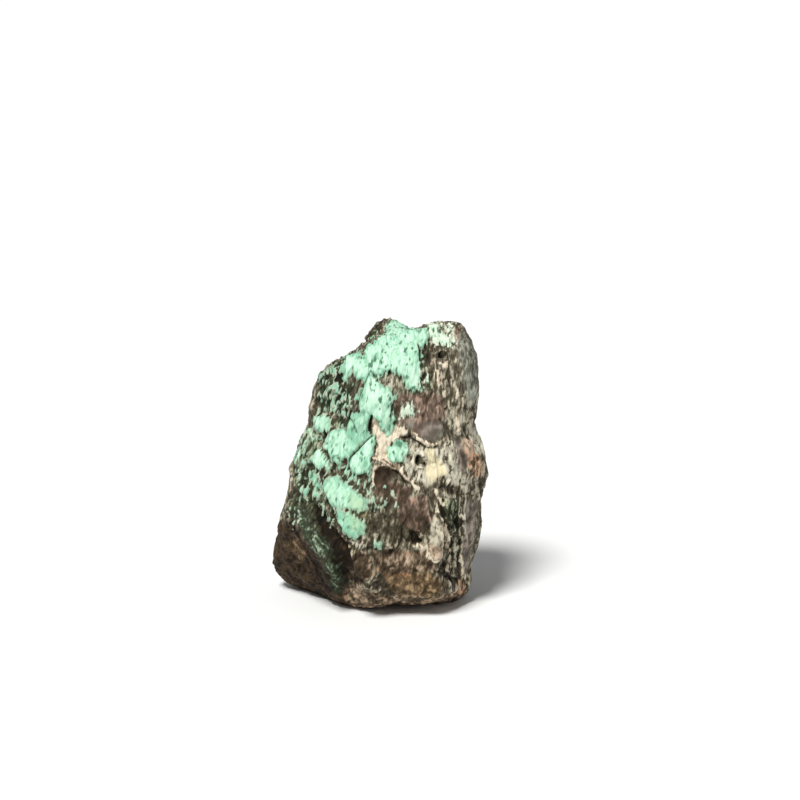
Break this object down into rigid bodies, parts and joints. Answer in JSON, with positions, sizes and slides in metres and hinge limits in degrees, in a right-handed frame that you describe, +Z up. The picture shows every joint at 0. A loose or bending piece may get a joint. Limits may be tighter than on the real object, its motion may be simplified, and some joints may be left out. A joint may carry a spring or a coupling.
{
  "type": "chrysocolla specimen",
  "caption": "Upright broken mineral nugget: dark ironstone matrix with a thin cracked blue-green crust over its front, a cream vein and small pits.",
  "frame": {"origin": "on the surface the stone stands on, under the middle of its bounding box", "axes": "+Z up, front with the crust towards -Y, the reader's right towards +X"},
  "size_m": [0.033, 0.0272, 0.0441],
  "materials": {
    "specimen": "rough broken ironstone with a blue-green chrysocolla crust and cream limonite vein"
  },
  "bodies": {
    "root": {"chrysocolla_specimen": "specimen"}
  },
  "joints": []
}
